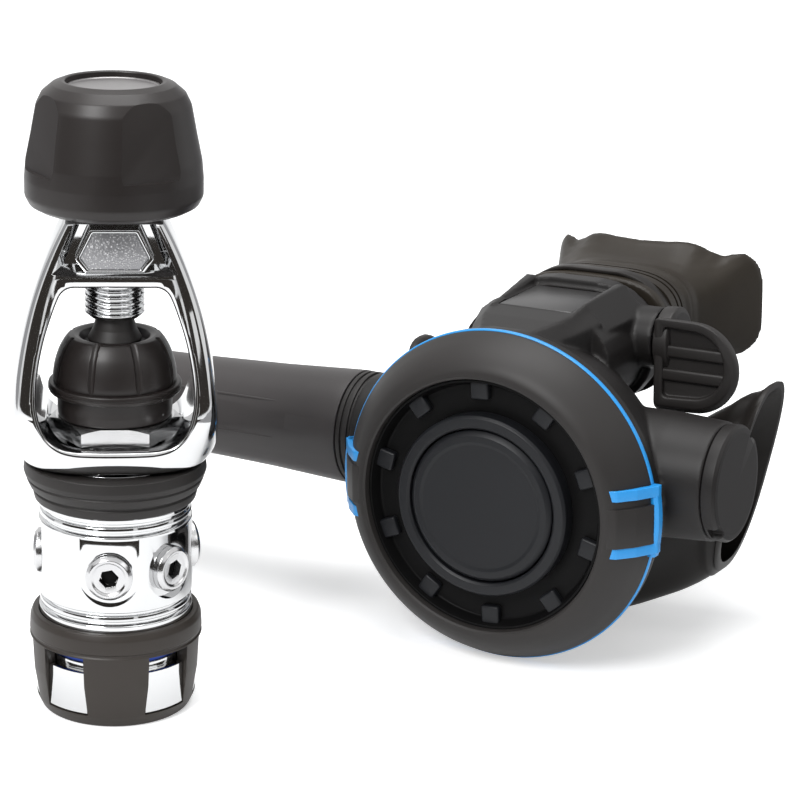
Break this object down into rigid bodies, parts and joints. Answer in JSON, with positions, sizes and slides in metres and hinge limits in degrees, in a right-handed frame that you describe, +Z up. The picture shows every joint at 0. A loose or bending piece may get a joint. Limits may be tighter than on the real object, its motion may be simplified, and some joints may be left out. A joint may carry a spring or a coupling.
{
  "type": "scuba regulator set",
  "caption": "Yoke-clamp first stage standing on its guard, with one hose looped behind to a demand second stage with purge button, flow lever, mouthpiece and exhaust tee.",
  "frame": {"origin": "middle of the guard's flat end on the floor, on the first stage's axis", "axes": "+Z up the first stage's axis through the yoke and knob, +X towards the second stage, +Y towards the first stage's hose port"},
  "size_m": [0.221, 0.2946, 0.168],
  "materials": {
    "chrome": "polished plated brass",
    "satin_metal": "satin plated",
    "black_rubber": "matt moulded rubber",
    "hose_rubber": "smooth matt rubber",
    "black_plastic": "fine satin plastic",
    "gloss_plastic": "smooth glossy plastic",
    "blue_metal": "blue anodised",
    "blue_plastic": "blue moulded",
    "silicone": "smooth translucent dark silicone",
    "badge": "pebbled grey",
    "seal": "matt",
    "brass": "turned",
    "seat_plastic": "turned pale plastic",
    "bronze": "sintered",
    "spring_steel": "drawn wire"
  },
  "bodies": {
    "first_stage": {"first_body": "chrome", "guard": "black_rubber", "chamber_cap": "chrome", "blue_ring": "blue_metal", "stem_seal": "seal", "piston_spring": "spring_steel", "port_plugs": "satin_metal", "high_plug": "satin_metal", "plug_seals": "seal", "collar_ring": "black_plastic", "yoke": "chrome", "yoke_badge": "badge", "yoke_retainer": "satin_metal", "inlet_filter": "bronze", "filter_ring": "spring_steel", "inlet_seal": "seal", "port_fitting": "satin_metal", "port_ferrule": "satin_metal", "hose": "hose_rubber", "case_ferrule": "satin_metal", "hose_sleeve": "black_rubber", "swivel_nut": "satin_metal"},
    "piston": {"piston": "brass", "piston_seal": "seal", "high_seat": "seat_plastic"},
    "cap": {"dust_cap": "black_rubber"},
    "tip": {"screw_tip": "black_plastic"},
    "knob": {"knob": "black_rubber", "knob_disc": "badge", "yoke_screw": "satin_metal"},
    "second_stage": {"case": "black_plastic", "front_cover": "black_rubber", "trim_ring": "blue_plastic", "diaphragm": "silicone", "inlet_ring": "black_plastic", "valve_tube": "satin_metal", "orifice": "satin_metal", "poppet_spring": "spring_steel", "purge_spring": "spring_steel", "lock_nut": "satin_metal", "barrel_cap": "black_plastic", "label_plate": "badge", "mouthpiece": "silicone", "mouth_clamp": "gloss_plastic", "exhaust_flap": "silicone", "exhaust_tee": "black_rubber"},
    "button": {"purge_button": "black_rubber"},
    "plate": {"diaphragm_plate": "seat_plastic"},
    "lever": {"demand_lever": "spring_steel"},
    "poppet": {"poppet": "seat_plastic", "poppet_seat": "seal"},
    "paddle": {"flow_lever": "black_plastic", "lever_pin": "satin_metal"}
  },
  "joints": [
    {"name": "knob_turn", "type": "hinge", "parent": "tip", "child": "knob", "pos_m": [0, 0, 0.15], "axis": [0, 0, 1], "range_deg": [0, 2050]},
    {"name": "screw_travel", "type": "slide", "parent": "first_stage", "child": "tip", "axis": [0, 0, 1], "range_m": [0, 0.009]},
    {"name": "dust_cap_lift", "type": "slide", "parent": "first_stage", "child": "cap", "axis": [0, 0, 1], "range_m": [0, 0.0082]},
    {"name": "piston_stroke", "type": "slide", "parent": "first_stage", "child": "piston", "axis": [0, 0, 1], "range_m": [0, 0.0015], "stiffness_N_per_m": 500, "springref_m": -0.003, "deforming": ["piston_spring"]},
    {"name": "hose_swivel", "type": "hinge", "parent": "first_stage", "child": "second_stage", "pos_m": [0.11868, 0.04554, 0.05315], "axis": [0.8225, -0.5674, 0.0401], "continuous": true},
    {"name": "purge_press", "type": "slide", "parent": "second_stage", "child": "button", "axis": [0.5678, 0.8231, 0], "range_m": [0, 0.003], "stiffness_N_per_m": 500, "springref_m": -0.002, "deforming": ["purge_spring"]},
    {"name": "diaphragm_stroke", "type": "slide", "parent": "second_stage", "child": "plate", "axis": [0.5678, 0.8231, 0], "range_m": [0, 0.003], "deforming": ["diaphragm"]},
    {"name": "lever_swing", "type": "hinge", "parent": "second_stage", "child": "lever", "pos_m": [0.1335, 0.02438, 0.04836], "axis": [0.033, -0.0228, -0.9992], "range_deg": [0, 7.2]},
    {"name": "poppet_travel", "type": "slide", "parent": "second_stage", "child": "poppet", "axis": [0.8225, -0.5674, 0.0401], "range_m": [0, 0.0006], "deforming": ["poppet_spring"]},
    {"name": "flow_lever_turn", "type": "hinge", "parent": "second_stage", "child": "paddle", "pos_m": [0.15652, 0.04981, 0.08557], "axis": [-0.8225, 0.5674, -0.0401], "range_deg": [0, 45]}
  ],
  "couplings": [
    {"joint": "knob_turn", "follows": "screw_travel", "rad_per_m": 3927},
    {"joint": "dust_cap_lift", "follows": "screw_travel", "ratio": 0.9},
    {"joint": "diaphragm_stroke", "follows": "purge_press", "ratio": 1},
    {"joint": "lever_swing", "follows": "purge_press", "rad_per_m": 41.667},
    {"joint": "poppet_travel", "follows": "purge_press", "ratio": 0.2}
  ]
}
